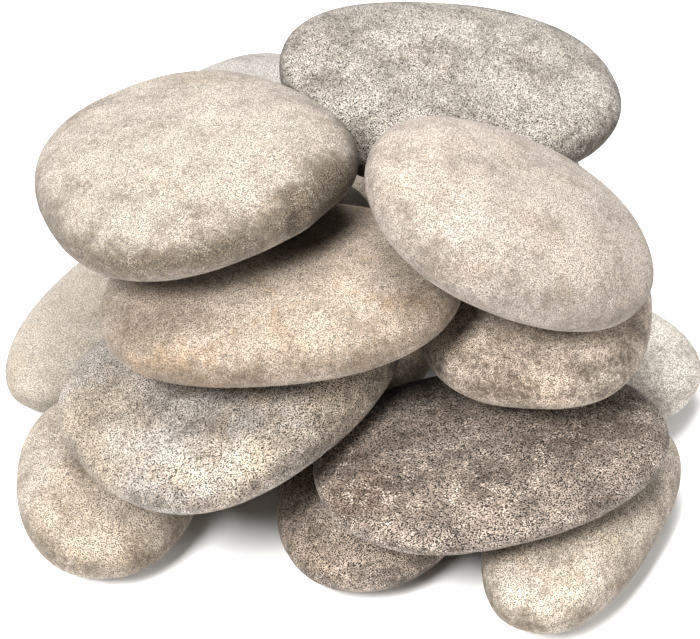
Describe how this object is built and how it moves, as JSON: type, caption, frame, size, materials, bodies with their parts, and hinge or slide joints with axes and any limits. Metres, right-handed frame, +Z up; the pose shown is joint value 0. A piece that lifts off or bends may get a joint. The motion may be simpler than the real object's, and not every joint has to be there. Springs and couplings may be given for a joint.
{
  "type": "heap of massage stones",
  "caption": "Free-standing heap of loose, smooth, flattened oval massage stones that lift off one another, for warming and laying on the body.",
  "frame": {"origin": "on the ground, below the middle of the heap's bounding box", "axes": "+Z up, +Y from the viewer's side towards the back of the heap, +X to the viewer's right"},
  "size_m": [0.1896, 0.1818, 0.1144],
  "materials": {
    "inner_beige_stone": "matte, water-worn, finely speckled",
    "inner_tan_stone": "matte, water-worn, finely speckled",
    "orange_beige_stone": "matte, water-worn, finely speckled",
    "brown_grey_stone": "matte, water-worn, finely speckled",
    "pale_beige_stone": "matte, water-worn, finely speckled",
    "light_beige_grey_stone": "matte, water-worn, finely speckled",
    "light_grey_stone": "matte, water-worn, finely speckled",
    "back_grey_stone": "matte, water-worn, finely speckled",
    "back_tan_stone": "matte, water-worn, finely speckled",
    "blue_grey_beige_stone": "matte, water-worn, finely speckled",
    "dark_streaked_stone": "matte, water-worn, finely speckled",
    "pale_grey_stone": "matte, water-worn, finely speckled",
    "stained_tan_stone": "matte, water-worn, finely speckled",
    "specked_tan_stone": "matte, water-worn, finely speckled",
    "speckled_grey_stone": "matte, water-worn, finely speckled",
    "pitted_beige_stone": "matte, water-worn, finely speckled",
    "pinkish_beige_stone": "matte, water-worn, finely speckled"
  },
  "bodies": {
    "base_stone_back_right": {"base_stone_back_right": "inner_beige_stone"},
    "base_stone_centre": {"base_stone_centre": "inner_tan_stone"},
    "base_stone_front_left": {"base_stone_front_left": "orange_beige_stone"},
    "base_stone_front_middle": {"base_stone_front_middle": "brown_grey_stone"},
    "base_stone_front_right": {"base_stone_front_right": "pale_beige_stone"},
    "base_stone_left": {"base_stone_left": "light_beige_grey_stone"},
    "base_stone_right": {"base_stone_right": "light_grey_stone"},
    "second_stone_back_left": {"second_stone_back_left": "back_grey_stone"},
    "second_stone_back_right": {"second_stone_back_right": "back_tan_stone"},
    "second_stone_front_left": {"second_stone_front_left": "blue_grey_beige_stone"},
    "second_stone_front_right": {"second_stone_front_right": "dark_streaked_stone"},
    "third_stone_back_left": {"third_stone_back_left": "pale_grey_stone"},
    "third_stone_left": {"third_stone_left": "stained_tan_stone"},
    "third_stone_right": {"third_stone_right": "specked_tan_stone"},
    "top_stone_back": {"top_stone_back": "speckled_grey_stone"},
    "top_stone_left": {"top_stone_left": "pitted_beige_stone"},
    "top_stone_right": {"top_stone_right": "pinkish_beige_stone"}
  },
  "joints": [
    {"name": "draw_out_base_stone_back_right", "type": "slide", "parent": "base_stone_centre", "child": "base_stone_back_right", "axis": [0.291, 0.9541, 0.07], "range_m": [0, 0.08]},
    {"name": "draw_out_base_stone_front_left", "type": "slide", "parent": "base_stone_centre", "child": "base_stone_front_left", "axis": [-0.7304, -0.6804, 0.06], "range_m": [0, 0.08]},
    {"name": "draw_out_base_stone_front_middle", "type": "slide", "parent": "base_stone_centre", "child": "base_stone_front_middle", "axis": [-0.3099, -0.9508, 0], "range_m": [0, 0.08]},
    {"name": "draw_out_base_stone_front_right", "type": "slide", "parent": "base_stone_centre", "child": "base_stone_front_right", "axis": [0.7691, -0.6391, 0], "range_m": [0, 0.08]},
    {"name": "draw_out_base_stone_left", "type": "slide", "parent": "base_stone_centre", "child": "base_stone_left", "axis": [-0.9219, 0.381, 0.07], "range_m": [0, 0.08]},
    {"name": "draw_out_base_stone_right", "type": "slide", "parent": "base_stone_centre", "child": "base_stone_right", "axis": [0.9587, 0.2699, 0.09], "range_m": [0, 0.08]},
    {"name": "draw_out_second_stone_back_left", "type": "slide", "parent": "base_stone_centre", "child": "second_stone_back_left", "axis": [-0.3311, 0.9222, 0.2], "range_m": [0, 0.07]},
    {"name": "draw_out_second_stone_back_right", "type": "slide", "parent": "base_stone_centre", "child": "second_stone_back_right", "axis": [0.3302, 0.8004, 0.5003], "range_m": [0, 0.07]},
    {"name": "lift_second_stone_front_left", "type": "slide", "parent": "second_stone_front_right", "child": "second_stone_front_left", "axis": [-0.21, -0.239, 0.948], "range_m": [0, 0.07]},
    {"name": "lift_second_stone_front_right", "type": "slide", "parent": "base_stone_centre", "child": "second_stone_front_right", "axis": [0.1509, -0.2609, 0.9535], "range_m": [0, 0.07]},
    {"name": "draw_out_third_stone_back_left", "type": "slide", "parent": "second_stone_back_left", "child": "third_stone_back_left", "axis": [-0.3311, 0.9222, 0.2], "range_m": [0, 0.07]},
    {"name": "lift_third_stone_left", "type": "slide", "parent": "third_stone_right", "child": "third_stone_left", "axis": [0, 0, 1], "range_m": [0, 0.07]},
    {"name": "lift_third_stone_right", "type": "slide", "parent": "second_stone_front_left", "child": "third_stone_right", "axis": [0, 0, 1], "range_m": [0, 0.07]},
    {"name": "lift_top_stone_back", "type": "slide", "parent": "second_stone_back_right", "child": "top_stone_back", "axis": [0, 0, 1], "range_m": [0, 0.07]},
    {"name": "lift_top_stone_left", "type": "slide", "parent": "third_stone_left", "child": "top_stone_left", "axis": [0, 0, 1], "range_m": [0, 0.07]},
    {"name": "lift_top_stone_right", "type": "slide", "parent": "third_stone_left", "child": "top_stone_right", "axis": [0, 0, 1], "range_m": [0, 0.07]}
  ]
}
